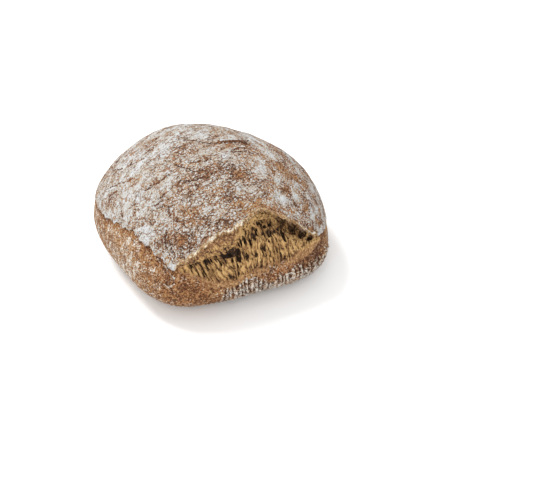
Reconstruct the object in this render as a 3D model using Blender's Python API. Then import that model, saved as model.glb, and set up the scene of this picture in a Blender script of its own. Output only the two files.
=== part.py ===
"""A rustic brown bread roll: a low, rounded-square dome with a floured top skin and a tear in its front side.

Metres, +Z up. The origin is the middle of the box round the roll, on the surface that it rests on. The torn side
faces -Y. Azimuths are degrees round +Z from +X, and elevations are degrees above the roll's fullest level, both
seen from its heart, the point on its upright axis at that level.
"""

import math

import bmesh
import bpy
import numpy as np
from mathutils import Matrix, Vector, noise

# The roll's form.
HALF_LENGTH = 0.0545  # from the heart to the side, along X
HALF_WIDTH = 0.0515  # from the heart to the front or back, along Y
CROWN_RISE = 0.0405  # from the fullest level up to the crown
BELLY_DROP = 0.0210  # from the fullest level down to where the round underside would end
BASE_SHARE = 0.85  # how much of that drop is left above the flat base
CORNER_LOW = 3.4  # superellipse exponent of the outline at the foot: a rounded square
CORNER_TOP = 1.8  # and at the crown
DOME_POWER = 2.25  # superellipse exponent of the upright section above the fullest level
BELLY_POWER = 2.5  # and below it
BACK_RISE = 0.03  # how much taller the back is than the middle, as a share of the height
RIGHT_DIP = 0.03  # how much lower the right is than the middle
LEAN_BACK = 0.05  # how far the crown stands back, as a share of HALF_WIDTH
LEAN_RIGHT = 0.02  # and to the right, as a share of HALF_LENGTH
HEART_HEIGHT = BASE_SHARE * BELLY_DROP

# Where hands and the oven made it uneven: azimuth, elevation and rise of each swelling, or hollow if negative.
SWELLINGS = (
    (-38, 0, -0.0020),
    (-55, -6, 0.0030),
    (-158, -7, -0.0020),
    (98, 33, 0.0030),
    (24, 31, -0.0030),
    (0, 29, 0.0015),
)
SWELLING_SPREAD = 25  # degrees
MEAN_RADIUS = 0.050

# The crust's low relief.
LUMP_SIZE = 0.022
LUMP_HEIGHT = 0.0005
WRINKLE_SIZE = 0.0055
WRINKLE_STRETCH = 3.0
WRINKLE_HEADING = 25  # degrees round +Z from +X
WRINKLE_HEIGHT = 0.00035

# The floured top skin ends in a small ledge all round: azimuth and elevation along its edge.
SKIN_EDGE = (
    (-180, 17),
    (-157, 21),
    (-140, 17),
    (-129, 10),
    (-90, 8),
    (-51, 9),
    (-39, 7),
    (10, 10),
    (60, 13),
    (110, 12),
    (150, 11),
    (180, 17),
)
LEDGE_HEIGHT = 0.0006
LEDGE_SLOPE = 1.2  # degrees of elevation from the top of the ledge to its foot

# The tear: azimuth and elevation along the skin's torn lip, and along the foot of the bared crumb.
TORN_LIP = (
    (-131, 12.6),
    (-120, 20),
    (-110.5, 27),
    (-99, 29.6),
    (-86, 34.2),
    (-75, 35.2),
    (-66, 27.8),
    (-59.5, 20),
    (-55, 12.5),
    (-51, 9.6),
)
TORN_FOOT = ((-131, 11.2), (-124, 10.6), (-115, 7), (-102, 4), (-92, 6), (-70, 7.2), (-51, 7.8))
# The crease between the lip and the crumb: azimuth, and share of the way up from the foot to the lip.
CREASE = ((-131, 0.80), (-108, 0.63), (-90, 0.82), (-75, 0.80), (-62, 0.60), (-51, 0.70))
# How deep the crease goes in: azimuth and metres.
CREASE_DEPTH = ((-131, 0.001), (-118, 0.0035), (-103, 0.0060), (-85, 0.0075), (-67, 0.0100), (-51, 0.002))
# How suddenly the crumb comes forward again below the crease: azimuth and exponent.
CRUMB_SWELL = ((-131, 1.2), (-100, 1.4), (-67, 2.6), (-51, 2.0))
INTO_TEAR = Vector((0.36, 0.71, -0.61)).normalized()  # back, down and a little to the right
UNDERCUT_RISE = 2.5  # degrees that the hollow reaches up behind the lip
LIP_THICKNESS = 0.0022
FOOT_STEP = 0.0006
END_SHARE = 0.10  # of the tear's length over which it comes out to the skin at each end
END_LIFT = 0.0012
CUTTER_REACH = 0.012

# The bared crumb's strands.
STRAND_PITCH = 3.6  # degrees of azimuth, about 3 mm
STRAND_LEAN = 0.9  # pitches that a strand leans from the crease to the foot
STRAND_HEIGHT = 0.0005
PIT_SIZE = 0.0042
PIT_DEPTH = 0.0016

# Folds and scratches in the top skin: azimuth, elevation, heading, length, width and depth.
GROOVES = (
    (10, 70, -15, 0.0130, 0.0014, 0.0009),
    (98, 73, -26, 0.0210, 0.0012, 0.0005),
    (-166, 50, 4, 0.0130, 0.0011, 0.0005),
    (-153, 41, 3, 0.0060, 0.0010, 0.0005),
)

# How finely each surface is made.
SEGMENTS = 112
ROWS_BELOW_EDGE = 14
ROWS_ABOVE_EDGE = 21
BASE_ROWS = ((0, -90), (2, -50), (4, -30))  # row and elevation, across the flat base and round its rim
TEAR_STATIONS = 100
CRUMB_ROWS = 11
GROOVE_SEGMENTS = 14
GROOVE_ROWS = 8

CRUST_COLOUR = (0.36, 0.22, 0.13, 1.0)
CRUST_ROUGHNESS = 0.85


def smooth_step(low, high, value):
    """0 below low, 1 above high, and a smooth rise between them."""
    share = np.clip((value - low) / (high - low), 0.0, 1.0)
    return share * share * (3.0 - 2.0 * share)


def smooth_curve(knots, at):
    """A curve through the knots, each an (x, y) pair, without the corners that straight runs would have."""
    x, y = np.array(knots, float).T
    slope = np.gradient(y, x)
    left = np.clip(np.searchsorted(x, at, side="right") - 1, 0, len(x) - 2)
    span = x[left + 1] - x[left]
    share = np.clip((at - x[left]) / span, 0.0, 1.0)
    rise = smooth_step(0.0, 1.0, share)
    leave = slope[left] * span * share * (1.0 - share) ** 2
    arrive = slope[left + 1] * span * share**2 * (1.0 - share)
    return y[left] + (y[left + 1] - y[left]) * rise + leave - arrive


def directions(azimuth, elevation):
    """Unit vectors from the heart, from angles in degrees."""
    turn, climb = np.radians(azimuth), np.radians(elevation)
    flat = np.cos(climb)
    return np.stack((np.cos(turn) * flat, np.sin(turn) * flat, np.sin(climb) + 0.0 * turn), axis=-1)


def swelling_factor(away):
    """How much further out the swellings and hollows push the surface, as a share of its distance."""
    factor = np.ones(len(away))
    width = 1.0 - math.cos(math.radians(SWELLING_SPREAD))
    for azimuth, elevation, rise in SWELLINGS:
        centre = directions(np.float64(azimuth), np.float64(elevation))
        factor += rise / MEAN_RADIUS * np.exp((away @ centre - 1.0) / width)
    return factor


def loaf_points(azimuth, elevation, relief=0.0):
    """Points of the roll's surface in these directions from the heart, and relief metres further out.

    The outline is a superellipse that turns from a rounded square at the foot to nearly a diamond-free round at the
    crown, the upright section is another one with its own height above and below the fullest level, and the
    underside is cut flat.
    """
    azimuth, elevation = np.broadcast_arrays(np.asarray(azimuth, float), np.asarray(elevation, float))
    away = directions(azimuth, elevation).reshape(-1, 3)
    climb = np.arcsin(np.clip(away[:, 2], -1.0, 1.0))
    corner = CORNER_LOW + (CORNER_TOP - CORNER_LOW) * smooth_step(-0.3, 1.0, climb)
    across = (abs(away[:, 0]) / HALF_LENGTH) ** corner + (abs(away[:, 1]) / HALF_WIDTH) ** corner
    across = across ** (1.0 / corner)
    upper = away[:, 2] > 0.0
    height = np.where(upper, CROWN_RISE, BELLY_DROP)
    power = np.where(upper, DOME_POWER, BELLY_POWER)
    reach = (across**power + (abs(away[:, 2]) / height) ** power) ** (-1.0 / power)
    reach = reach * swelling_factor(away) + np.broadcast_to(relief, azimuth.shape).reshape(-1)
    points = away * reach[:, None]
    points[:, 2] = np.maximum(points[:, 2], -HEART_HEIGHT) + HEART_HEIGHT
    top = points[:, 2] / (CROWN_RISE + HEART_HEIGHT)
    points[:, 0] += LEAN_RIGHT * HALF_LENGTH * top**2
    points[:, 1] += LEAN_BACK * HALF_WIDTH * top**2
    points[:, 2] *= 1.0 + BACK_RISE * points[:, 1] / HALF_WIDTH - RIGHT_DIP * points[:, 0] / HALF_LENGTH
    return points.reshape(azimuth.shape + (3,))


def crust_relief(point):
    """Lumps, and wrinkles drawn out along one heading, in metres out from the plain form."""
    lump = noise.noise(point / LUMP_SIZE)
    turned = Matrix.Rotation(-math.radians(WRINKLE_HEADING), 3, "Z") @ point
    drawn = Vector((turned.x / WRINKLE_STRETCH, turned.y, turned.z)) / WRINKLE_SIZE
    return LUMP_HEIGHT * lump + WRINKLE_HEIGHT * noise.noise(drawn)


def row_elevations(row, azimuth):
    """Rows of the crust's surface: few across the base, then even ones up to the skin's edge and to the crown."""
    edge = smooth_curve(SKIN_EDGE, azimuth)
    first_rows, first_climbs = zip(*BASE_ROWS)
    ledge_foot = ROWS_BELOW_EDGE - 1
    base = np.interp(row, first_rows, first_climbs)
    side = (row - first_rows[-1]) / (ledge_foot - first_rows[-1])
    side = first_climbs[-1] + side * (edge - LEDGE_SLOPE - first_climbs[-1])
    skin = edge + (row - ROWS_BELOW_EDGE) / ROWS_ABOVE_EDGE * (90.0 - edge)
    return np.where(row <= first_rows[-1], base, np.where(row <= ledge_foot, side, skin))


def collection(name):
    made = bpy.data.collections.new(name)
    bpy.context.scene.collection.children.link(made)
    return made


def add_object(name, mesh, home):
    made = bpy.data.objects.new(name, mesh)
    home.objects.link(made)
    return made


def mesh_from(name, shape):
    mesh = bpy.data.meshes.new(name)
    shape.to_mesh(mesh)
    shape.free()
    return mesh


def crust_mesh():
    """The whole roll before it tore: a sphere's vertices, each sent to its place on the roll."""
    rows = ROWS_BELOW_EDGE + ROWS_ABOVE_EDGE
    shape = bmesh.new()
    bmesh.ops.create_uvsphere(shape, u_segments=SEGMENTS, v_segments=rows, radius=1.0)
    mesh = mesh_from("bread_roll", shape)
    ball = np.empty(len(mesh.vertices) * 3)
    mesh.vertices.foreach_get("co", ball)
    ball = ball.reshape(-1, 3)
    azimuth = np.degrees(np.arctan2(ball[:, 1], ball[:, 0]))
    row = np.round((np.degrees(np.arcsin(np.clip(ball[:, 2], -1.0, 1.0))) + 90.0) / 180.0 * rows)
    elevation = row_elevations(row, azimuth)
    plain = loaf_points(azimuth, elevation)
    relief = np.array([crust_relief(Vector(point)) for point in plain])
    relief -= LEDGE_HEIGHT * (row < ROWS_BELOW_EDGE)
    points = loaf_points(azimuth, elevation, relief)
    mesh.vertices.foreach_set("co", points.ravel())
    mesh.shade_smooth()
    return mesh


def strand_relief(azimuth, down, point):
    """The stretched crumb: leaning ridges with pits between them, in metres towards the viewer of the tear."""
    phase = 2.0 * math.pi * (azimuth / STRAND_PITCH + STRAND_LEAN * down)
    ridge = STRAND_HEIGHT * math.cos(phase + noise.noise(point / PIT_SIZE))
    pit = max(0.0, noise.noise(point / PIT_SIZE + Vector((7.0, 0.0, 0.0))) - 0.15)
    fade = 4.0 * down * (1.0 - down)
    return fade * (ridge - PIT_DEPTH * pit)


def tear_section(azimuth):
    """One section of what the tear leaves open, from outside over the lip, into the crease and out at the foot."""
    along = (azimuth - TORN_LIP[0][0]) / (TORN_LIP[-1][0] - TORN_LIP[0][0])
    full = float(smooth_step(0.0, END_SHARE, along) * smooth_step(0.0, END_SHARE, 1.0 - along))
    lip = float(smooth_curve(TORN_LIP, azimuth))
    foot = float(smooth_curve(TORN_FOOT, azimuth))
    crease = foot + (lip - foot) * float(smooth_curve(CREASE, azimuth))
    depth = float(smooth_curve(CREASE_DEPTH, azimuth)) * full
    swell = float(smooth_curve(CRUMB_SWELL, azimuth))
    lift = -INTO_TEAR * END_LIFT * (1.0 - full)

    def at(elevation, inward):
        return Vector(loaf_points(azimuth, elevation)) + INTO_TEAR * inward + lift

    section = [at(lip, -CUTTER_REACH), at(lip, 0.0)]
    section.append(at(lip + UNDERCUT_RISE * full, LIP_THICKNESS * full))
    section.append(at(0.5 * (lip + crease), 0.5 * (depth + LIP_THICKNESS * full)))
    for down in np.linspace(0.0, 1.0, CRUMB_ROWS):
        elevation = crease + (foot - crease) * down
        inward = FOOT_STEP * full + (depth - FOOT_STEP * full) * (1.0 - down) ** swell
        point = at(elevation, inward)
        section.append(point - INTO_TEAR * strand_relief(azimuth, down, point) * full)
    section.append(at(foot, -CUTTER_REACH))
    return section


def loft(name, sections):
    """A closed solid through closed sections that have equally many points."""
    shape = bmesh.new()
    rings = [[shape.verts.new(point) for point in section] for section in sections]
    for ring, following in zip(rings, rings[1:]):
        for near in range(len(ring)):
            far = (near + 1) % len(ring)
            shape.faces.new((ring[near], ring[far], following[far], following[near]))
    shape.faces.new(reversed(rings[0]))
    shape.faces.new(rings[-1])
    bmesh.ops.triangulate(shape, faces=shape.faces[:])
    bmesh.ops.recalc_face_normals(shape, faces=shape.faces[:])
    return mesh_from(name, shape)


def tear_mesh():
    stations = np.linspace(TORN_LIP[0][0], TORN_LIP[-1][0], TEAR_STATIONS)
    return loft("tear", [tear_section(azimuth) for azimuth in stations])


def groove_mesh(name, azimuth, elevation, heading, length, width, depth):
    """A long thin ellipsoid half sunk in the skin, lying along its heading."""
    spot = Vector(loaf_points(azimuth, elevation))
    beside = Vector(loaf_points(azimuth, elevation + 1.0)) - spot
    around = Vector(loaf_points(azimuth + 1.0, elevation)) - spot
    outward = around.cross(beside).normalized()
    run = Vector((math.cos(math.radians(heading)), math.sin(math.radians(heading)), 0.0))
    run = (run - outward * run.dot(outward)).normalized()
    turned = Matrix((run, outward.cross(run), outward)).transposed().to_4x4()
    scaled = Matrix.Diagonal((length / 2.0, width / 2.0, depth, 1.0))
    shape = bmesh.new()
    bmesh.ops.create_uvsphere(
        shape,
        u_segments=GROOVE_SEGMENTS,
        v_segments=GROOVE_ROWS,
        radius=1.0,
        matrix=Matrix.Translation(spot) @ turned @ scaled,
    )
    return mesh_from(name, shape)


def cut(body, cutter):
    """Takes the cutter's shape out of the body, and keeps the cutter as a wire helper."""
    cutter.hide_render = True
    cutter.display_type = "WIRE"
    modifier = body.modifiers.new(cutter.name, "BOOLEAN")
    modifier.operation = "DIFFERENCE"
    modifier.solver = "EXACT"
    modifier.object = cutter


def crust_material():
    material = bpy.data.materials.new("floured_brown_crust")
    material.use_nodes = True
    shader = material.node_tree.nodes["Principled BSDF"]
    shader.inputs["Base Color"].default_value = CRUST_COLOUR
    shader.inputs["Roughness"].default_value = CRUST_ROUGHNESS
    shader.inputs["Metallic"].default_value = 0.0
    return material


def base_centre(mesh):
    """The middle of the box round the mesh, at its lowest level."""
    points = np.empty(len(mesh.vertices) * 3)
    mesh.vertices.foreach_get("co", points)
    points = points.reshape(-1, 3)
    low, high = points.min(axis=0), points.max(axis=0)
    return Vector(((low[0] + high[0]) / 2.0, (low[1] + high[1]) / 2.0, low[2]))


def main():
    for leftover in list(bpy.data.objects):
        bpy.data.objects.remove(leftover, do_unlink=True)
    parts, cutters = collection("brown_bread_roll"), collection("cutters")
    roll = add_object("bread_roll", crust_mesh(), parts)
    roll.data.materials.append(crust_material())
    helpers = [add_object("tear", tear_mesh(), cutters)]
    for number, groove in enumerate(GROOVES, start=1):
        name = f"groove_{number}"
        helpers.append(add_object(name, groove_mesh(name, *groove), cutters))
    to_origin = Matrix.Translation(-base_centre(roll.data))
    roll.data.transform(to_origin)
    for helper in helpers:
        helper.data.transform(to_origin)
        cut(roll, helper)


main()
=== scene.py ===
"""The looks of a rustic brown bread roll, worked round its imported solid.

Metres, +Z up, with the torn side facing -Y. Azimuths are degrees round +Z from +X, and elevations are
degrees above the roll's fullest level, both seen from its heart, the point on its upright axis at that
level. Depths in the crumb and sizes of noise are in mm. Three pieces stand for the one solid: the baked
crust of the sides and base, the floured skin over the top, and the torn crumb between them. Each is a
surface worked out as whole numpy arrays.
"""

import itertools
import math

import bmesh
import bpy
import numpy as np
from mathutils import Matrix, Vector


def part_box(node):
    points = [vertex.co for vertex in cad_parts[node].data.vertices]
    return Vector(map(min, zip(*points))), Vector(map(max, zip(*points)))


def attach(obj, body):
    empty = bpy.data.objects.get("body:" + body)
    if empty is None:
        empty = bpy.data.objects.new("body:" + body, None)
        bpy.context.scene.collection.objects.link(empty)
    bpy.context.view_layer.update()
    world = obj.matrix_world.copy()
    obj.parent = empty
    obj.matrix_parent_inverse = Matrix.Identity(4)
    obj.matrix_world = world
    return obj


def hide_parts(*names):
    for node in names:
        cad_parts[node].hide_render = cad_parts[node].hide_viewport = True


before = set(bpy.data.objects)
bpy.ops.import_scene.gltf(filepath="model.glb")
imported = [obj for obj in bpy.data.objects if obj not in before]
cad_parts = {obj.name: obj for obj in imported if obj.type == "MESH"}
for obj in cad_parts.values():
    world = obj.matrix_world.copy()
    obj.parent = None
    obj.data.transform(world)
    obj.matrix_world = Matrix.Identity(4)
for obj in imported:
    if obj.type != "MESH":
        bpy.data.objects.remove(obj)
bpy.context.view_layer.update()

MM = 0.001
BODY = "root"
NODE = "bread_roll"

# ---- The roll's form, as in its solid ------------------------------------------------------------

HALF_LENGTH = 54.5 * MM
HALF_WIDTH = 51.5 * MM
CROWN_RISE = 40.5 * MM
BELLY_DROP = 21.0 * MM
HEART_HEIGHT = 0.85 * BELLY_DROP
CORNER_LOW, CORNER_TOP = 3.4, 1.8
DOME_POWER, BELLY_POWER = 2.25, 2.5
BACK_RISE, RIGHT_DIP = 0.03, 0.03
LEAN_BACK, LEAN_RIGHT = 0.05, 0.02
MEAN_RADIUS = 50.0 * MM
MM_PER_DEGREE = math.radians(1.0) * MEAN_RADIUS / MM
SWELLINGS = (  # azimuth, elevation, rise
    (-38, 0, -2.0 * MM), (-55, -6, 3.0 * MM), (-158, -7, -2.0 * MM), (98, 33, 3.0 * MM),
    (24, 31, -3.0 * MM), (0, 29, 1.5 * MM),
)
SWELLING_SPREAD = 25

SKIN_EDGE = (  # azimuth, elevation
    (-180, 17), (-157, 21), (-140, 17), (-129, 10), (-90, 8), (-51, 9), (-39, 7), (10, 10), (60, 13),
    (110, 12), (150, 11), (180, 17),
)
TORN_LIP = (
    (-131, 12.6), (-120, 20), (-110.5, 27), (-99, 29.6), (-86, 34.2), (-75, 35.2), (-66, 27.8),
    (-59.5, 20), (-55, 12.5), (-51, 9.6),
)
TORN_FOOT = ((-131, 11.2), (-124, 10.6), (-115, 7), (-102, 4), (-92, 6), (-70, 7.2), (-51, 7.8))
CREASE = ((-131, 0.80), (-108, 0.63), (-90, 0.82), (-75, 0.80), (-62, 0.60), (-51, 0.70))
CREASE_DEPTH = ((-131, 1.0), (-118, 3.5), (-103, 6.0), (-85, 7.5), (-67, 10.0), (-51, 2.0))  # in mm
CRUMB_SWELL = ((-131, 1.2), (-100, 1.4), (-67, 2.6), (-51, 2.0))
INTO_TEAR = np.array((0.36, 0.71, -0.61)) / np.linalg.norm((0.36, 0.71, -0.61))
TEAR_LEFT, TEAR_RIGHT = TORN_LIP[0][0], TORN_LIP[-1][0]
END_BLEND = 1.0
EDGE_FLAKES = ((1.4, 9.0, 11), (1.4, 3.0, 12), (0.9, 1.3, 13))  # height in degrees, size in mm, seed
LIP_FLAKES = ((0.7, 4.5, 14), (1.1, 1.9, 15), (0.5, 0.9, 17))
FOOT_FLAKES = ((1.8, 1.8, 31), (1.0, 4.0, 32))


def smooth_step(low, high, value):
    """0 below low, 1 above high, and a smooth rise between them."""
    share = np.clip((value - low) / (high - low), 0.0, 1.0)
    return share * share * (3.0 - 2.0 * share)


def smooth_curve(knots, at):
    """A curve through the knots: in each span a cubic that keeps the slope of its two ends."""
    x, y = np.array(knots, float).T
    slope = np.gradient(y, x)
    left = np.clip(np.searchsorted(x, at, side="right") - 1, 0, len(x) - 2)
    span = x[left + 1] - x[left]
    share = np.clip((at - x[left]) / span, 0.0, 1.0)
    leave = slope[left] * span * share * (1.0 - share) ** 2
    arrive = slope[left + 1] * span * share**2 * (1.0 - share)
    return y[left] + (y[left + 1] - y[left]) * smooth_step(0.0, 1.0, share) + leave - arrive


def directions(azimuth, elevation):
    """Unit vectors from the heart, from angles in degrees."""
    turn, climb = np.radians(azimuth), np.radians(elevation)
    flat = np.cos(climb)
    return np.stack((np.cos(turn) * flat, np.sin(turn) * flat, np.sin(climb) + 0.0 * turn), axis=-1)


def form(away):
    """The plain roll in these directions: a superellipse outline that rounds towards the crown, another
    one for the upright section, gentle swellings, a flat base, and a lean to the back."""
    climb = np.arcsin(np.clip(away[:, 2], -1.0, 1.0))
    corner = CORNER_LOW + (CORNER_TOP - CORNER_LOW) * smooth_step(-0.3, 1.0, climb)
    across = (abs(away[:, 0]) / HALF_LENGTH) ** corner + (abs(away[:, 1]) / HALF_WIDTH) ** corner
    across = across ** (1.0 / corner)
    upper = away[:, 2] > 0.0
    height = np.where(upper, CROWN_RISE, BELLY_DROP)
    power = np.where(upper, DOME_POWER, BELLY_POWER)
    reach = (across**power + (abs(away[:, 2]) / height) ** power) ** (-1.0 / power)
    width = 1.0 - math.cos(math.radians(SWELLING_SPREAD))
    for azimuth, elevation, rise in SWELLINGS:
        centre = directions(np.float64(azimuth), np.float64(elevation))
        reach = reach * (1.0 + rise / MEAN_RADIUS * np.exp((away @ centre - 1.0) / width))
    points = away * reach[:, None]
    points[:, 2] = np.maximum(points[:, 2], -HEART_HEIGHT) + HEART_HEIGHT
    top = points[:, 2] / (CROWN_RISE + HEART_HEIGHT)
    points[:, 0] += LEAN_RIGHT * HALF_LENGTH * top**2
    points[:, 1] += LEAN_BACK * HALF_WIDTH * top**2
    points[:, 2] *= 1.0 + BACK_RISE * points[:, 1] / HALF_WIDTH - RIGHT_DIP * points[:, 0] / HALF_LENGTH
    return points


def form_shift():
    """What brings the middle of the plain form's box over the middle of the solid's box."""
    azimuth, elevation = np.meshgrid(np.arange(-180.0, 180.0, 3.0), np.arange(-30.0, 60.0, 2.0))
    points = form(directions(azimuth, elevation).reshape(-1, 3))
    low, high = (np.array(corner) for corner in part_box(NODE))
    shift = (low + high) / 2.0 - (points.min(axis=0) + points.max(axis=0)) / 2.0
    return np.array((shift[0], shift[1], 0.0))


SHIFT = form_shift()


def surface(azimuth, elevation):
    """Points of the plain form and its outward normals, from the cross product of two small steps on
    it."""
    away = directions(azimuth, elevation).reshape(-1, 3)
    step = 1e-4
    helper = np.where(abs(away[:, 2:]) < 0.9, (0.0, 0.0, 1.0), (1.0, 0.0, 0.0))
    east = np.cross(helper, away)
    east /= np.linalg.norm(east, axis=1, keepdims=True)
    north = np.cross(away, east)
    here = form(away)
    ways = []
    for way in (east, north):
        stepped = away + step * way
        ways.append(form(stepped / np.linalg.norm(stepped, axis=1, keepdims=True)) - here)
    normals = np.cross(*ways)
    normals /= np.linalg.norm(normals, axis=1, keepdims=True)
    return here + SHIFT, normals


def patch_sum(patches, azimuth, elevation):
    """The sum of round soft patches, each given by azimuth, elevation, spread in degrees and amount."""
    away = directions(azimuth, elevation).reshape(-1, 3)
    total = np.zeros(len(away))
    for centre_azimuth, centre_elevation, spread, amount in patches:
        centre = directions(np.float64(centre_azimuth), np.float64(centre_elevation))
        total += amount * np.exp((away @ centre - 1.0) / (1.0 - math.cos(math.radians(spread))))
    return total


# ---- Noise ---------------------------------------------------------------------------------------


def lattice(points, seed):
    """A random generator, its shuffled order of 256 numbers, each point's cell and where in the cell it
    is."""
    table = np.random.default_rng(seed)
    order = table.permutation(256)
    cell = np.floor(points).astype(np.int64)
    return table, order, cell, points - cell


def lattice_hash(order, cell):
    """A number under 256 for each lattice cell."""
    return order[(order[(order[cell[:, 0] & 255] + cell[:, 1]) & 255] + cell[:, 2]) & 255]


def gradient_noise(points, seed):
    """Perlin's noise, about -1 to 1: at each lattice corner a random slope, blended smoothly between the
    corners."""
    table, order, cell, part = lattice(points, seed)
    slopes = table.normal(size=(256, 3))
    slopes /= np.linalg.norm(slopes, axis=1, keepdims=True)
    fade = part**3 * (part * (part * 6.0 - 15.0) + 10.0)
    total = np.zeros(len(points))
    for corner in itertools.product((0, 1), repeat=3):
        offset = np.array(corner)
        weight = np.where(offset, fade, 1.0 - fade).prod(axis=1)
        slope = slopes[lattice_hash(order, cell + offset)]
        total += weight * ((part - offset) * slope).sum(axis=1)
    return 1.5 * total


def noise_vectors(points, seed):
    """Vectors of noise, with a seed of its own for each axis."""
    return np.stack([gradient_noise(points, seed + axis) for axis in range(3)], axis=-1)


def fractal_noise(points, size, octaves, seed, falloff=0.5):
    """Noise of one size with ever finer and weaker noise on it."""
    total, weight, scale = 0.0, 0.0, 1.0
    for octave in range(octaves):
        total = total + falloff**octave * gradient_noise(points / (size * MM) * scale, seed + octave)
        weight += falloff**octave
        scale *= 2.03
    return total / weight


def drawn_out(points, heading, stretch):
    """Points turned so that a heading runs along X, and pressed together along it, so that noise runs
    along it."""
    turn = math.radians(heading)
    along = points[:, 0] * math.cos(turn) + points[:, 1] * math.sin(turn)
    beside = points[:, 1] * math.cos(turn) - points[:, 0] * math.sin(turn)
    return np.stack((along / stretch, beside, points[:, 2]), axis=-1)


def cell_noise(points, seed):
    """Worley's noise: of points scattered one to a unit cell, the distance to the nearest, how much
    further the second nearest is, and a random number of the nearest."""
    table, order, cell, part = lattice(points, seed)
    spots, marks = table.random((256, 3)), table.random(256)
    first = second = np.full(len(points), np.inf)
    mark = np.zeros(len(points))
    for neighbour in itertools.product((-1, 0, 1), repeat=3):
        offset = np.array(neighbour)
        number = lattice_hash(order, cell + offset)
        far = np.sqrt(((offset + spots[number] - part) ** 2).sum(axis=1))
        nearer = far < first
        second = np.where(nearer, first, np.minimum(second, far))
        mark = np.where(nearer, marks[number], mark)
        first = np.where(nearer, far, first)
    return first, second - first, mark


# ---- Meshes --------------------------------------------------------------------------------------


def add_mesh(name, points, face_groups, attributes, material):
    """A smooth mesh object from its points, arrays of faces with equally many corners, and one number per
    point for each attribute."""
    mesh = bpy.data.meshes.new(name)
    mesh.vertices.add(len(points))
    mesh.vertices.foreach_set("co", np.ascontiguousarray(points, np.float32).ravel())
    corners = np.concatenate([group.ravel() for group in face_groups])
    counts = np.concatenate([np.full(len(group), group.shape[1]) for group in face_groups])
    mesh.loops.add(len(corners))
    mesh.loops.foreach_set("vertex_index", corners.astype(np.int32))
    mesh.polygons.add(len(counts))
    starts = np.concatenate(((0,), np.cumsum(counts)[:-1]))
    mesh.polygons.foreach_set("loop_start", starts.astype(np.int32))
    mesh.update(calc_edges=True)
    for key, values in attributes.items():
        layer = mesh.attributes.new(key, "FLOAT", "POINT")
        layer.data.foreach_set("value", np.ascontiguousarray(values, np.float32))
    mesh.validate()
    mesh.shade_smooth()
    mesh.materials.append(material)
    made = bpy.data.objects.new(name, mesh)
    bpy.context.scene.collection.objects.link(made)
    return made


def grid_rim(number):
    """Point numbers round the rim of a grid of them, counterclockwise."""
    return np.concatenate((number[:-1, 0], number[-1, :-1], number[:0:-1, -1], number[0, :0:-1]))


def grid_quads(number):
    """Quads of a grid of point numbers, counterclockwise."""
    corners = (number[:-1, :-1], number[1:, :-1], number[1:, 1:], number[:-1, 1:])
    return np.stack([corner.ravel() for corner in corners], axis=-1)


def ring_faces(outer, inner):
    """Quads between two rings of point numbers, where the faces beyond the outer ring run along it."""
    return np.stack((np.roll(outer, -1), outer, inner, np.roll(inner, -1)), axis=-1)


def fan_faces(ring, centre):
    """Triangles that close a ring."""
    return np.stack((np.roll(ring, -1), ring, np.full(len(ring), centre)), axis=-1)


# ---- The edge of the skin and the shape of the tear ----------------------------------------------


def around(azimuth, size, seed):
    """Noise of one size along a belt round the roll, which meets itself behind."""
    belt = directions(azimuth, 0.0 * azimuth).reshape(-1, 3) * MEAN_RADIUS
    return gradient_noise(belt / (size * MM), seed)


def in_tear(azimuth):
    """1 between the ends of the tear, and 0 beyond them."""
    left = smooth_step(TEAR_LEFT - END_BLEND, TEAR_LEFT + END_BLEND, azimuth)
    return left * (1.0 - smooth_step(TEAR_RIGHT - END_BLEND, TEAR_RIGHT + END_BLEND, azimuth))


def off_ends(azimuth, distance):
    """0 at the ends of the tear and beyond them, and 1 from this many degrees inside it."""
    left = smooth_step(0.0, distance, azimuth - TEAR_LEFT)
    return left * smooth_step(0.0, distance, TEAR_RIGHT - azimuth)


def flaked(elevation, azimuth, flakes):
    """An edge's elevation, made uneven by noise of a few sizes."""
    for height, size, seed in flakes:
        elevation = elevation + height * around(azimuth, size, seed)
    return elevation


def skin_edge(azimuth):
    """Elevation at which the floured skin ends: a flaky edge round the roll, and the serrated lip over
    the tear."""
    flaky = flaked(smooth_curve(SKIN_EDGE, azimuth), azimuth, EDGE_FLAKES)
    lip = flaked(smooth_curve(TORN_LIP, azimuth), azimuth, LIP_FLAKES)
    share = in_tear(azimuth)
    return flaky * (1.0 - share) + lip * share


def tear_share(azimuth, elevation):
    """How far up a point is between the foot of the tear, 0, and its lip, 1."""
    foot, lip = smooth_curve(TORN_FOOT, azimuth), smooth_curve(TORN_LIP, azimuth)
    return (elevation - foot) / (lip - foot)


# ---- Pieces --------------------------------------------------------------------------------------

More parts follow.
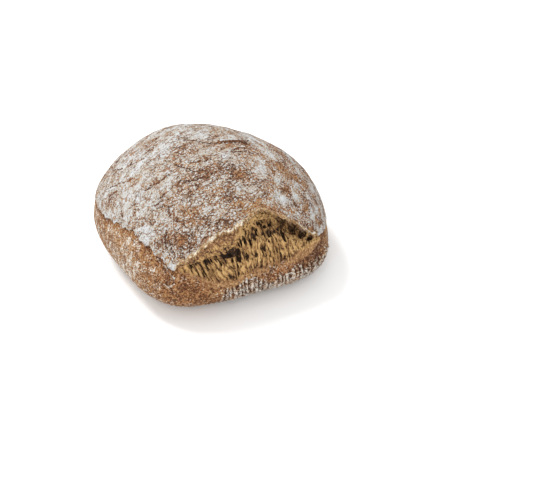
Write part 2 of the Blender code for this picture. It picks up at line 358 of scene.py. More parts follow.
FLOUR_BASE = 0.73
FLOUR_PATCHES = (  # azimuth, elevation, spread in degrees, amount
    (105, 62, 20, 0.12), (150, 38, 22, 0.14), (180, 33, 20, 0.14), (97, 61, 8, 0.24),
    (155, 59, 4.5, 0.22), (-81, 53, 3.5, 0.60), (-148, 25, 5, 0.26), (-44, 78, 4, 0.15),
    (-9, 47, 6, 0.25), (-54, 34, 3.2, 0.38), (-48, 29, 3, 0.36), (-41, 43, 2.4, 0.25),
    (-43, 34, 2.4, 0.22), (-31, 54, 4.5, 0.22), (-64, 34, 4, -0.38), (-35, 24, 7, -0.24),
    (-45, 15, 6, -0.14), (-49, 39, 2.6, -0.22), (-60, 27, 3.2, -0.22), (-51, 22, 3.2, -0.20),
    (-126, 17, 4, 0.18), (-122, 51, 4, 0.12), (-160, 39, 6, 0.10), (-32, 20, 8, 0.08),
    (-72, 60, 6, -0.56), (-92, 68, 5, -0.44), (-119, 67, 5, -0.44), (-141, 61, 4.5, -0.30),
    (77, 81, 5, -0.36), (14, 73, 4.5, -0.34), (3, 62, 3.5, -0.25), (143, 71, 6, -0.26),
    (-169, 66, 4.5, -0.22), (-128, 40, 5.5, -0.40), (-130, 26, 5, -0.52), (-139, 25, 4, -0.32),
    (-90, 44, 7, -0.34), (-31, 37, 5, -0.36), (-31, 49, 5, -0.28), (-61, 47, 4.5, -0.26),
    (-47, 25, 4, -0.24), (-110, 34, 7, -0.20), (-75, 38, 5, -0.36), (143, 20, 6, -0.20),
    (-152, 54, 4, 0.20), (-22, 42, 22, -0.12), (172, 22, 4, -0.15),
)
BAKE_PATCHES = (
    (-85, 64, 13, 0.22), (-60, 60, 8, 0.20), (0, 70, 10, 0.15), (-130, 26, 8, 0.38),
    (-80, 40, 9, -0.20), (-31, 42, 14, -0.12), (170, 30, 25, -0.15), (-152, 54, 4, -0.60),
)
SKIN_LINES = (  # corners, half width and rise in mm
    (((107, 72), (92, 78), (60, 81), (33, 79)), 0.6, -0.2),
    (((33, 79), (19, 74), (13, 69), (8, 64), (3, 61)), 1.0, -0.3),
    (((33, 76), (19, 71), (13, 66), (8, 61)), 1.2, 1.3),
    (((8, 61), (15, 55)), 0.9, -0.6),
    (((-21, 75), (-20, 70), (-19, 65), (-19, 60)), 0.68, -0.4),
    (((-14, 73), (-7, 67), (-8, 64)), 0.68, -0.4),
    (((162, 26), (165, 32), (170, 37), (171, 40)), 0.64, -0.4),
    (((-169, 42), (-169, 45), (-166, 50), (-165, 57)), 0.64, -0.4),
    (((-154, 38), (-151, 43)), 0.60, -0.4),
    (((-154, 42), (-153, 46)), 0.60, -0.3),
    (((153, 38), (154, 44), (153, 48)), 0.60, -0.3),
    (((166, 23), (169, 29)), 0.60, -0.3),
    (((-171, 30), (-168, 34)), 0.60, -0.3),
    (((147, 27), (152, 34)), 0.60, -0.3),
    (((-145, 41), (-142, 38), (-140, 35)), 0.68, -0.5),
    (((-139, 29), (-139, 25), (-137, 21)), 0.68, -0.5),
    (((-135, 24), (-134, 20)), 0.60, -0.4),
    (((-178, 26), (-173, 24), (-171, 21)), 0.64, -0.4),
    (((-173, 65), (-157, 67), (-137, 68)), 0.64, -0.4),
    (((-160, 72), (-135, 77), (-100, 80)), 0.64, -0.4),
    (((-143, 57), (-135, 60), (-121, 64)), 0.64, -0.4),
    (((-141, 67), (-114, 70)), 0.64, -0.3),
    (((-109, 35), (-101, 40)), 0.46, -0.3),
)
LEFT_HEADING, RIGHT_HEADING = 22.0, -80.0
RIGHT_FLANK = (2 * MM, 30 * MM)  # where the stretch turns from the left heading to the right one, along X
SKIN_COUNT = 304
SKIN_TURN = 1.0
SKIN_THICKNESS = 0.9 * MM
CURL_HEIGHT, CURL_REACH = 1.1 * MM, 3.0 * MM
NOTCH_DEPTH, EDGE_ROUND = 0.7 * MM, 0.7 * MM
RIM_WIDTH = 2.6
UNDERSIDE = ((0.0, 0.6), (0.5, 1.0), (2.5, 1.25), (9.0, 2.5), (30.0, 5.0))  # degrees up, thicknesses down
NO_LINE = 4.0  # half widths of a line, far enough for none to show
LEDGE = 0.8 * MM


def streak_noise(points, size, stretch, seed):
    """Noise drawn out across the left of the roll, and down its right flank, as the dough was stretched
    there."""
    size *= MM
    left = gradient_noise(drawn_out(points, LEFT_HEADING, stretch) / size, seed)
    right = gradient_noise(drawn_out(points, RIGHT_HEADING, stretch) / size, seed + 50)
    share = smooth_step(*RIGHT_FLANK, points[:, 0])
    return left * (1.0 - share) + right * share


def line_distance(points, corners):
    """Distance from each point to the nearest of the straight pieces between corners given as angles."""
    azimuth, elevation = np.array(corners, float).T
    spots, _ = surface(azimuth, elevation)
    nearest = np.full(len(points), 1.0)
    for start, end in itertools.pairwise(spots):
        way = end - start
        share = np.clip((points - start) @ way / (way @ way), 0.0, 1.0)
        nearest = np.minimum(nearest, np.linalg.norm(points - start - share[:, None] * way, axis=1))
    return nearest


def flake_mosaic(points, size, seed):
    """Uneven flakes drawn out along the stretch: how far a point is inside its flake, 0 on the crack
    round it and about 1 in its middle, and a random number for each flake."""
    size *= MM
    moved = points + 0.45 * size * noise_vectors(points / (1.3 * size), seed)
    share = smooth_step(*RIGHT_FLANK, points[:, 0])[:, None]
    left, right = drawn_out(moved, LEFT_HEADING, 1.7), drawn_out(moved, RIGHT_HEADING, 1.7)
    _, gap, mark = cell_noise(np.where(share < 0.5, left, right) / size, seed + 3)
    return np.minimum(gap / 0.35, 1.0), mark


def skin_relief(points, azimuth, elevation):
    """Height of the skin over the plain form, how floured it is and how far it is baked: lumps, then
    wrinkles drawn out along the stretch of the dough, then flakes, each with its own share of flour. Last
    comes how far the nearest crack is, in half widths."""
    lumps = fractal_noise(points, 20, 2, 21) + 0.45 * gradient_noise(points / (6 * MM), 36)
    wrinkles = streak_noise(points, 3.4, 3.2, 22) + 0.5 * streak_noise(points, 1.7, 2.6, 23)
    creases = np.clip(1.0 - 7.0 * abs(streak_noise(points, 4.6, 3.5, 24)), 0.0, 1.0)
    creases *= smooth_step(-0.1, 0.4, gradient_noise(points / (8 * MM), 25))
    grain = fractal_noise(points, 1.7, 2, 26, 0.7)
    patchy = 0.8 * fractal_noise(points, 7, 3, 27, 0.45)
    streaked = 0.8 + 1.0 * smooth_step(2 * MM, 25 * MM, points[:, 0])
    patchy += streaked * streak_noise(points, 3.6, 4.0, 28)
    flake, flake_mark = flake_mosaic(points, 3.0, 71)
    height = 0.50 * MM * lumps + 0.18 * MM * wrinkles - 0.32 * MM * creases + 0.05 * MM * grain
    height += 0.06 * MM * flake
    flour = FLOUR_BASE + patch_sum(FLOUR_PATCHES, azimuth, elevation)
    flour = flour + 0.38 * patchy + 0.08 * wrinkles - 0.28 * creases
    flour += 0.06 * (flake - 0.7) + 0.10 * (flake_mark - 0.5)
    line = np.full(len(points), NO_LINE)
    wandering = points + 0.7 * MM * noise_vectors(points / (2.6 * MM), 37)
    for corners, half_width, rise in SKIN_LINES:
        far = line_distance(wandering, corners) / (half_width * MM)
        height += rise * MM * np.exp(-((0.8 * far) ** 2))
        if rise < 0.0:
            line = np.minimum(line, far)
        else:
            flour += 0.3 * np.exp(-(far**2))
    bake = 0.43 + 0.30 * fractal_noise(points, 10, 3, 29, 0.6) + 0.10 * wrinkles + 0.30 * creases
    bake += 0.6 * patch_sum(BAKE_PATCHES, azimuth, elevation) - 0.1 * (flake - 0.7)
    return height, flour, bake, line


def make_floured_skin(material):
    """The top skin as a thin closed shell. Its outside is a square grid bent onto a disc by the
    elliptical map, whose middle is the crown and whose rim is the skin's edge. Rings under the rim close
    it."""
    side = np.linspace(-1.0, 1.0, SKIN_COUNT + 1)
    across, along = (grid.ravel() for grid in np.meshgrid(side, side, indexing="ij"))
    disc_x = across * np.sqrt(1.0 - along**2 / 2.0)
    disc_y = along * np.sqrt(1.0 - across**2 / 2.0)
    reach = np.clip(np.hypot(disc_x, disc_y), 0.0, 1.0)
    azimuth = np.degrees(np.arctan2(disc_y, disc_x)) - SKIN_TURN
    azimuth = (azimuth + 180.0) % 360.0 - 180.0
    edge = skin_edge(azimuth)
    elevation = edge + (90.0 - edge) * (1.0 - reach)
    points, normals = surface(azimuth, elevation)
    height, flour, bake, line = skin_relief(points, azimuth, elevation)
    from_edge = (elevation - edge) * MM_PER_DEGREE * MM
    lip = in_tear(azimuth)
    round_off = np.clip(1.0 - from_edge / EDGE_ROUND, 0.0, 1.0) ** 2
    curl = lip * CURL_HEIGHT * np.exp(-from_edge / CURL_REACH) * smooth_step(TEAR_LEFT, -105, azimuth)
    height = height * smooth_step(-0.5 * MM, 3.0 * MM, from_edge) + curl - 0.35 * MM * round_off
    rim_width = (RIM_WIDTH + 1.1 * around(azimuth, 2.6, 18) + 0.7 * around(azimuth, 1.1, 20)) * MM
    rim = lip * smooth_step(rim_width, 0.7 * rim_width, from_edge)
    notch = smooth_step(0.0, 0.35, around(azimuth, 1.3, 19)) * smooth_step(1.6 * MM, 0.6 * MM, from_edge)
    height -= NOTCH_DEPTH * lip * notch
    flour -= 0.25 * lip * np.exp(-(((from_edge - 3.6 * MM) / (1.0 * MM)) ** 2))
    dusted = 0.24 + 0.40 * around(azimuth, 3.5, 51) + 0.25 * around(azimuth, 1.2, 52)
    flour += dusted * (1.0 - lip) * np.exp(-from_edge / (2.5 * MM))
    outside = points + normals * height[:, None]

    number = np.arange((SKIN_COUNT + 1) ** 2).reshape(SKIN_COUNT + 1, SKIN_COUNT + 1)
    ring = grid_rim(number)
    rings, ring_points = [ring], [outside]
    first = len(outside)
    thick = SKIN_THICKNESS * (0.55 + 0.45 * lip[ring]) + 0.2 * MM * around(azimuth[ring], 2, 16)
    for rise, depth in UNDERSIDE:
        below, outward = surface(azimuth[ring], edge[ring] + rise)
        lifted = curl[ring] - thick * depth
        ring_points.append(below + outward * lifted[:, None])
        rings.append(first + np.arange(len(ring)))
        first += len(ring)
    ring_points.append(np.array([(0.0, 0.0, CROWN_RISE)]) + SHIFT)
    faces = [grid_quads(number)] + [ring_faces(*pair) for pair in itertools.pairwise(rings)]
    faces.append(fan_faces(rings[-1], first))
    extra = first + 1 - len(outside)
    cream = 1.0 - 0.75 * smooth_step(-92.0, -84.0, azimuth) + 0.6 * smooth_step(-66.0, -58.0, azimuth)
    cream = cream * (0.65 + 0.7 * around(azimuth, 3.0, 35))
    inward = from_edge + 0.6 * MM * around(azimuth, 0.9, 34)
    cream = 0.15 + cream * smooth_step(0.4 * MM, 1.0 * MM, inward) - 0.9 * notch
    shown = {"flour": flour, "bake": bake, "rim": rim, "cream": cream, "line": line}
    hidden = {"flour": 0.0, "bake": 0.3, "rim": 1.0, "cream": 0.3, "line": NO_LINE}
    attributes = {key: np.append(shown[key], np.full(extra, value)) for key, value in hidden.items()}
    return add_mesh("floured_skin", np.concatenate(ring_points), faces, attributes, material)


CRUST_COLUMNS = 736
BASE_ROWS, SIDE_ROWS, HIDDEN_ROWS = 14, 104, 10
RIM_ELEVATION = -29.0
UNDER_SKIN = 0.6
RECESS_DEPTH = 14.0 * MM


def crust_rows(azimuth):
    """Elevations of the crust's rows: sparse over the base, even from its rim to the skin's edge or the
    foot of the tear, and sparse again under the skin. Also the elevation of that edge or foot."""
    share = in_tear(azimuth)
    foot = flaked(smooth_curve(TORN_FOOT, azimuth), azimuth, FOOT_FLAKES)
    top = skin_edge(azimuth) * (1.0 - share) + foot * share
    base = -90.0 + (RIM_ELEVATION + 90.0) * (np.arange(1, BASE_ROWS + 1) / BASE_ROWS) ** 0.6
    base = np.broadcast_to(base[:, None], (BASE_ROWS, len(azimuth)))
    side = np.arange(1, SIDE_ROWS + 1)[:, None] / SIDE_ROWS
    side = RIM_ELEVATION + side * (top + UNDER_SKIN - RIM_ELEVATION)
    hidden = (np.arange(1, HIDDEN_ROWS + 1)[:, None] / (HIDDEN_ROWS + 1)) ** 1.6
    hidden = top + UNDER_SKIN + hidden * (90.0 - top - UNDER_SKIN)
    return np.concatenate((base, side, hidden)), top


def make_baked_crust(material):
    """The sides and base: columns round the roll and rows from the base to the crown. Below the skin it
    lies a ledge further in, and behind the tear it bends inwards as a bowl for the crumb."""
    columns = np.linspace(-180.0, 180.0, CRUST_COLUMNS, endpoint=False)
    elevation, top = crust_rows(columns)
    number = np.arange(elevation.size).reshape(elevation.shape)
    azimuth, above = np.broadcast_to(columns, elevation.shape).ravel(), (elevation - top).ravel()
    elevation = elevation.ravel()
    points, normals = surface(azimuth, elevation)
    height, flour, bake, rib, ribbed = crust_relief(points, azimuth, elevation)
    # Just below the skin's edge the crust has less flour and a darker bake: the darker bake is partly the
    # crust's own brown and partly painted shadow under the ledge of the skin.
    under_edge = smooth_step(-5.0, -0.8, above) * (1.0 - in_tear(azimuth))
    flour -= 0.40 * under_edge
    bake += 0.22 * under_edge
    standing = smooth_step(0.3 * MM, 4.0 * MM, points[:, 2])
    height = height * standing - LEDGE * (1.0 - 0.5 * smooth_step(-14.0, -28.0, elevation))
    height *= smooth_step(0.0, 0.5 * MM, points[:, 2])
    height -= 1.0 * MM * smooth_step(0.0, 1.5, above) + 2.0 * MM * smooth_step(4.0, 20.0, above)
    points = points + normals * height[:, None]
    below_lip = 1.0 - smooth_step(1.05, 1.2, tear_share(azimuth, elevation))
    bowl = in_tear(azimuth) * smooth_step(0.0, 2.0, above) * below_lip * off_ends(azimuth, 6.0)
    points = points + INTO_TEAR * (RECESS_DEPTH * bowl)[:, None]
    base_pole = form(np.array([(0.0, 0.0, -1.0)])) + SHIFT
    crown_pole = np.array([(0.0, 0.0, CROWN_RISE)]) + SHIFT
    quads = grid_quads(np.append(number, number[:, :1], axis=1).T)
    base_fan = fan_faces(number[0], number.size)
    crown_fan = fan_faces(number[-1][::-1], number.size + 1)
    line = np.full(number.size, NO_LINE)
    shown = {"flour": flour, "bake": bake, "line": line, "rib": rib, "ribbed": ribbed}
    at_poles = {"flour": 0.2, "bake": 0.5, "line": NO_LINE, "rib": 0.0, "ribbed": 0.0}
    attributes = {key: np.append(shown[key], (value, value)) for key, value in at_poles.items()}
    every_point = np.concatenate((points, base_pole, crown_pole))
    return add_mesh("baked_crust", every_point, [quads, base_fan, crown_fan], attributes, material)


SIDE_FLOUR_PATCHES = (
    (-155, 4, 14, 0.16), (-178, 0, 18, 0.16), (-165, -14, 14, 0.12), (-118, -2, 10, -0.34),
    (-100, 2, 6, -0.20), (-66, 3, 8, -0.26), (-132, 4, 7, -0.15), (-52, 3, 8, -0.34),
)
SIDE_BAKE_PATCHES = (
    (-131, 4, 9, 0.25), (-118, -4, 10, 0.15), (-53, 4, 8, 0.52), (-64, 3, 7, 0.38), (-80, 3, 9, 0.36),
    (-165, 6, 14, -0.12),
)
RIB_PITCH = 2.1
RIB_HEIGHT, BACK_RIB_HEIGHT = 0.65 * MM, 0.15 * MM
RIB_TOP = (  # azimuth, elevation
    (-180, -4), (-131, -3), (-117, -1), (-109, 1), (-102, 3), (-94, 6), (-87, 2), (-81, -1), (-76, 1),
    (-53, 1), (-30, -4), (180, -4),
)
CORNER_CRACKS = (
    (((-141.5, 16.2), (-135.4, 12.9), (-131, 8.0)), 0.50 * MM),
    (((-135.6, 4.6), (-133.8, 3.7), (-132.3, 4.3), (-131, 5.6)), 0.45 * MM),
)


def crust_relief(points, azimuth, elevation):
    """Height, flour and browning of the sides: soft lumps, fine pocks, pale cracks at the front corner,
    and upright ribs of flour along the foot."""
    lumps = fractal_noise(points, 16, 2, 41)
    pocks = fractal_noise(points, 2.0, 2, 42, 0.7)
    chip, chip_mark = flake_mosaic(points, 1.6, 91)
    upright = points * np.array((1.0, 1.0, 0.25))
    sway = 0.65 * gradient_noise(upright / (4.5 * MM), 43)
    sway = sway + 0.22 * gradient_noise(points / (1.5 * MM), 44)
    slant = 0.06 * elevation * smooth_step(-95.0, -75.0, azimuth)
    rib = azimuth * MM_PER_DEGREE / RIB_PITCH + sway + slant
    ribs = np.cos(2.0 * math.pi * rib)
    front = smooth_step(-114.0, -102.0, azimuth) * (1.0 - smooth_step(-40.0, -30.0, azimuth))
    rib_top = smooth_curve(RIB_TOP, azimuth) + 2.5 * gradient_noise(points / (3.0 * MM), 47)
    low = smooth_step(0.0, -3.5, elevation - rib_top)
    height = 0.45 * MM * lumps + 0.20 * MM * pocks + 0.12 * MM * chip
    height = height + RIB_HEIGHT * front * low * (ribs + 0.4)
    height += BACK_RIB_HEIGHT * (1.0 - front) * low * ribs
    left = smooth_step(-140.0, -158.0, azimuth) + smooth_step(120.0, 140.0, azimuth)
    flour = 0.14 + patch_sum(SIDE_FLOUR_PATCHES, azimuth, elevation)
    flour = flour + 0.75 * fractal_noise(points, 5, 3, 45, 0.8) + 0.20 * pocks
    flour += 0.55 * left * smooth_step(0.1, 0.5, gradient_noise(upright / (2.4 * MM), 48))
    flour += 0.15 * (chip - 0.65) + 0.20 * (chip_mark - 0.5)
    ribbed = low * front * np.clip(0.85 + 0.9 * gradient_noise(points / (4.0 * MM), 49), 0.0, 1.0)
    flour += low * (0.10 + 0.10 * front)
    bake = 0.42 + patch_sum(SIDE_BAKE_PATCHES, azimuth, elevation)
    bake = bake + 0.30 * fractal_noise(points, 9, 3, 46, 0.7) - 0.25 * (chip - 0.65)
    for corners, half_width in CORNER_CRACKS:
        near = np.exp(-((line_distance(points, corners) / half_width) ** 2))
        height += 0.5 * MM * near
        flour += 0.85 * near
    return height, flour, bake, rib, ribbed


# ---- The torn crumb ------------------------------------------------------------------------------

CRUMB_SPACING = 0.28
CRUMB_AZIMUTH = (-135.0, -47.5)
CRUMB_ELEVATION = (-1.0, 40.0)
CRUMB_DEPTH = (-1.2, 12.5)
CRUMB_TUCK = 3.0
BACK_WALL = 0.4
FOOT_DEPTH = 0.35
CRUMB_TRIANGLES = 190000
FACE_ZONE = (-1.8, 6.5)  # mm behind the envelope within which the crumb is shaped
HIDDEN, FILLED, CLEARED, AIR = -2.0, 0.3, -0.3, -0.5  # what the field is set to, in mm
CAVES = (  # azimuth, elevation, depth in mm, then its half width, height and depth in mm
    (-67.5, 26.5, 5.0, 3.2, 3.2, 7.0), (-63.0, 21.5, 5.0, 3.8, 3.6, 7.0),
    (-59.5, 16.5, 4.5, 3.0, 2.3, 6.0), (-56.0, 11.9, 3.0, 2.4, 1.0, 4.0),
    (-104.0, 18.3, 4.0, 3.6, 1.2, 3.8), (-98.6, 17.8, 4.5, 1.3, 3.7, 4.2),
    (-111.5, 18.6, 2.5, 3.6, 0.8, 2.6), (-98.0, 24.0, 3.5, 1.2, 1.6, 3.0),
)
SLOTS = (  # azimuth, elevation, then half width, height and depth in mm
    (-94.0, 16.3, 0.9, 2.0, 3.0), (-106.5, 15.2, 1.0, 1.0, 2.5), (-103.0, 6.5, 1.4, 1.2, 2.0),
    (-115.0, 13.0, 0.7, 3.6, 2.5), (-119.0, 13.5, 0.5, 2.0, 2.0), (-78.5, 24.0, 1.1, 1.8, 3.5),
    (-77.3, 19.5, 0.5, 2.4, 2.5), (-82.0, 31.0, 0.8, 0.7, 3.0), (-79.0, 28.0, 1.2, 0.9, 3.0),
    (-85.5, 28.5, 0.7, 1.4, 2.5), (-70.6, 20.0, 0.8, 3.0, 4.5), (-90.5, 22.5, 0.6, 3.0, 2.5),
    (-93.5, 23.5, 0.8, 1.8, 3.0), (-87.0, 24.5, 0.6, 2.2, 2.5), (-84.0, 18.0, 0.5, 3.0, 2.5),
    (-76.5, 15.0, 0.6, 2.2, 2.5), (-99.5, 11.5, 0.6, 2.2, 2.5),
)
FLAP_END, PEAK_START, RIGHT_START = (-104.0, -94.0), (-97.0, -90.0), (-72.0, -64.0)  # azimuths
STRAND_LEAN = ((-131, 38), (-112, 30), (-102, 14), (-92, 4), (-50, 4))  # azimuth, degrees from upright


def crumb_lattice():
    """Azimuth, elevation and depth of a regular lattice along the tear, one step about CRUMB_SPACING
    mm."""
    spans = ((CRUMB_AZIMUTH, MM_PER_DEGREE), (CRUMB_ELEVATION, MM_PER_DEGREE), (CRUMB_DEPTH, 1.0))
    counts = (int((high - low) * size / CRUMB_SPACING) + 1 for (low, high), size in spans)
    return [np.linspace(*ends, count) for (ends, _), count in zip(spans, counts)]


def above_crease(azimuth, elevation):
    """How far a point is above the crumb's crease, as a share of the tear's height."""
    return tear_share(azimuth, elevation) - smooth_curve(CREASE, azimuth)


def in_flap(azimuth, above, start, end):
    """1 in the flap of crumb that hangs under the left of the lip, from above the crease."""
    return smooth_step(start, end, above) * (1.0 - smooth_step(*FLAP_END, azimuth))


def in_peak(azimuth, above):
    """1 in the spongy crumb under the peak and the right of the lip, from above the crease."""
    return smooth_step(0.0, 0.06, above) * smooth_step(*PEAK_START, azimuth)


def crumb_envelope(azimuth, elevation):
    """How deep in the tear, in mm, the crumb's face lies before it is opened by pores: from the foot it
    bulges and sinks to the crease, and from there it comes out again to the lip, late on the right and
    early on the left."""
    share = tear_share(azimuth, elevation)
    crease = smooth_curve(CREASE, azimuth)
    depth = np.maximum(smooth_curve(CREASE_DEPTH, azimuth) * 0.85 * off_ends(azimuth, 7.0), 1.0)
    down = np.clip((crease - share) / crease, 0.0, 1.0)
    lower = FOOT_DEPTH + (depth - FOOT_DEPTH) * (1.0 - down) ** smooth_curve(CRUMB_SWELL, azimuth)
    hold = 0.75 * smooth_step(-76.0, -68.0, azimuth)
    upper = 1.0 + (depth - 1.0) * smooth_step(1.0, hold, (share - crease) / (1.0 - crease))
    envelope = np.where(share < crease, lower, upper)
    below = np.clip(-share, 0.0, None) * 14.0
    envelope = np.where(share < 0.0, FOOT_DEPTH + 0.28 * below, envelope)
    beyond = np.maximum(TEAR_LEFT - azimuth, azimuth - TEAR_RIGHT)
    return envelope + np.clip(beyond, 0.0, None) * 0.9


def hidden_crumb(azimuth, elevation):
    """True where crumb would lie well behind the skin over the lip, or behind the crust under the
    foot."""
    above = elevation > smooth_curve(TORN_LIP, azimuth) + CRUMB_TUCK
    return above | (elevation < smooth_curve(TORN_FOOT, azimuth) - CRUMB_TUCK)


def fibre_place(azimuth, elevation, depth):
    """Millimetres across the strands of the crumb, along them from the foot of the tear, and into it."""
    up = (elevation - smooth_curve(TORN_FOOT, azimuth)) * MM_PER_DEGREE
    lean = np.tan(np.radians(smooth_curve(STRAND_LEAN, np.minimum(azimuth, TEAR_RIGHT))))
    place = np.stack((azimuth * MM_PER_DEGREE + up * lean, up, depth), axis=-1)
    bend = 1.0 * gradient_noise(place / (4.0, 7.0, 4.0), 61)
    place[:, 0] += bend + 0.35 * gradient_noise(place / (1.7, 3.0, 2.0), 63)
    return place


def crumb_holes(place, azimuth, elevation):
    """How far, in mm, a place is inside the walls between pores: long pores between the strands, rounder
    ones in the spongy crumb under the peak, and fine ones everywhere but in the flap at the left."""
    above = above_crease(azimuth, elevation)
    right = smooth_step(-73.0, -64.0, azimuth)
    flap = in_flap(azimuth, above, 0.02, 0.08)
    below_crease = np.exp(-(((above + 0.08) / 0.12) ** 2))
    long_pores = pore_wall(place, (1.5, 9.0, 2.6), 62, 0.30 - 0.13 * below_crease + 0.18 * right)
    round_pores = pore_wall(place, (1.8, 2.1, 2.2), 82, 0.24)
    fine_pores = pore_wall(place, (0.95, 3.8, 1.4), 72, 0.36 - 0.04 * right)
    coarse = np.where(in_peak(azimuth, above) > 0.5, round_pores, long_pores) + 1.2 * flap
    return np.minimum(coarse, fine_pores + 0.07 * flap) + 0.5 * smooth_step(1.8, -0.6, place[:, 1])


def strand_relief(place, azimuth, elevation):
    """Relief in mm of the crumb's face: strands with narrow grooves between, and on the flap streaks
    along the lip."""
    flap = in_flap(azimuth, above_crease(azimuth, elevation), 0.0, 0.06)
    right = smooth_step(*RIGHT_START, azimuth)
    broad = gradient_noise(place / (3.0, 8.0, 6.0), 60)
    groove = smooth_step(0.30, 0.0, abs(gradient_noise(place / (2.0, 14.0, 5.0), 65)))
    fine_groove = smooth_step(0.34, 0.0, abs(gradient_noise(place / (1.15, 8.0, 4.0), 66)))
    across, along, inward = place.T
    slant = np.stack((across / 4.0, (along - 0.45 * across) / 1.3, inward / 3.0), axis=-1)
    streaks = 0.7 * gradient_noise(slant, 67) + 0.8 * gradient_noise(place / (2.6, 2.2, 3.0), 69)
    strands = 0.7 * broad - 0.8 * groove - 0.75 * fine_groove
    strands *= (0.3 + 0.7 * smooth_step(-1.2, 1.2, along)) * (1.0 - 0.4 * right)
    grainy = 0.22 + 0.25 * smooth_step(3.0, 0.0, along) + 0.15 * right
    return (1.0 - flap) * strands + flap * streaks + grainy * gradient_noise(place / 0.9, 64)


def crumb_field():
    """A field in mm, solid where positive: behind the envelope with its relief, and off the pores, caves
    and slots. With it come the envelope and the lattice's axes."""
    axes = crumb_lattice()
    shape = tuple(len(values) for values in axes)
    azimuth, elevation = (grid.ravel() for grid in np.meshgrid(*axes[:2], indexing="ij"))
    envelope = crumb_envelope(azimuth, elevation)
    azimuth, elevation, envelope = np.repeat((azimuth, elevation, envelope), shape[2], axis=1)
    depth = np.tile(axes[2], shape[0] * shape[1])
    solid = np.where(hidden_crumb(azimuth, elevation), HIDDEN, depth - envelope)

    near = np.flatnonzero((solid > FACE_ZONE[0]) & (solid < FACE_ZONE[1]))
    azimuth, elevation, inside = azimuth[near], elevation[near], solid[near]
    place = fibre_place(azimuth, elevation, depth[near])
    holes = crumb_holes(place, azimuth, elevation)
    holes += 0.5 * smooth_step(0.3, -1.5, place[:, 1]) + 2.0 * smooth_step(4.5, 6.5, inside)
    ragged = 0.4 * gradient_noise(place / (1.3, 3.0, 2.0), 68)
    for centre_azimuth, centre_elevation, centre_depth, half_across, half_up, half_deep in CAVES:
        offset = (azimuth - centre_azimuth) * MM_PER_DEGREE / half_across
        rise = (elevation - centre_elevation) * MM_PER_DEGREE / half_up
        inward = (depth[near] - centre_depth) / half_deep
        away = np.sqrt(offset**2 + rise**2 + inward**2)
        holes = np.minimum(holes, (away - 1.0) * min(half_across, half_up) + ragged)
    for centre_azimuth, centre_elevation, half_across, half_up, half_deep in SLOTS:
        rise = (elevation - centre_elevation) * MM_PER_DEGREE
        lean = np.tan(np.radians(smooth_curve(STRAND_LEAN, np.float64(centre_azimuth))))
        offset = (azimuth - centre_azimuth) * MM_PER_DEGREE + rise * lean
        away = np.sqrt((offset / half_across) ** 2 + (rise / half_up) ** 2 + (inside / half_deep) ** 2)
        holes = np.minimum(holes, (away - 1.0) * half_across + 0.5 * ragged)
    solid[near] = np.minimum(inside + strand_relief(place, azimuth, elevation), holes)
    solid = np.minimum(solid, CRUMB_DEPTH[1] - BACK_WALL - depth)
    return closed_round(solid.reshape(shape)), envelope.reshape(shape), axes


def closed_round(field):
    """The field with open air all round it."""
    for axis in range(3):
        walls = np.moveaxis(field, axis, 0)
        walls[0] = walls[-1] = AIR
    return field


def pore_wall(place, cell, seed, thickness):
    """Distance in mm to the inside of the walls of a foam with cells of this size in mm. The thickness of
    its walls is a share of the cell's width."""
    _, gap, _ = cell_noise(place / cell, seed)
    return (thickness + 0.07 * gradient_noise(place / 5.0, seed + 1) - gap) * cell[0] / 2.0


def grow(reached, allowed):
    """The cells that are allowed and joined to the reached ones, found by growing them until nothing
    changes."""
    count = -1
    while count != reached.sum():
        count = reached.sum()
        for _ in range(6):
            for axis in range(3):
                moved = np.moveaxis(reached, axis, 0)
                may = np.moveaxis(allowed, axis, 0)
                grown = moved.copy()
                grown[1:] |= moved[:-1]
                grown[:-1] |= moved[1:]
                moved |= grown & may
    return reached


def without_scraps(field):
    """The field with sealed holes filled and loose scraps dropped."""
    solid = field > 0.0
    open_air = np.zeros_like(solid)
    open_air[:, :, 0] = True
    open_air = grow(open_air, ~solid)
    field = closed_round(np.where(~solid & ~open_air, FILLED, field))
    solid = field > 0.0
    core = np.zeros_like(solid)
    core[:, :, -3] = solid[:, :, -3]
    return np.where(solid & ~grow(core, solid), CLEARED, field)


def net_surface(field):
    """Surface nets: one point in each lattice cell that the surface crosses, at the mean of the crossings
    of the cell's edges, and one quad round each crossed edge. Points are in lattice steps."""
    solid = field > 0.0
    cells = tuple(length - 1 for length in field.shape)
    keys, spots, quads = [], [], []
    for axis in range(3):
        turned = (axis, (axis + 1) % 3, (axis + 2) % 3)
        values, inside = field.transpose(turned), solid.transpose(turned)
        i, j, k = np.nonzero(inside[:-1] != inside[1:])
        start, end = values[i, j, k], values[i + 1, j, k]
        spot = np.stack((i + start / (start - end), j, k), axis=-1)
        around_edge = ((-1, -1), (0, -1), (0, 0), (-1, 0))
        corners = []
        for step_j, step_k in around_edge:
            moved = np.stack((i, j + step_j, k + step_k), axis=-1)
            corners.append(np.roll(moved, axis, axis=1) @ (cells[1] * cells[2], cells[2], 1))
        quad = np.stack(corners, axis=-1)
        outward = inside[i, j, k]
        quads.append(np.where(outward[:, None], quad, quad[:, ::-1]))
        keys.append(quad.T.ravel())
        spots.append(np.tile(np.roll(spot, axis, axis=1), (4, 1)))
    keys, spots = np.concatenate(keys), np.concatenate(spots)
    cell, number, count = np.unique(keys, return_inverse=True, return_counts=True)
    points = np.stack([np.bincount(number, spots[:, axis]) / count for axis in range(3)], axis=-1)
    faces = np.searchsorted(cell, np.concatenate(quads))
    return points, faces


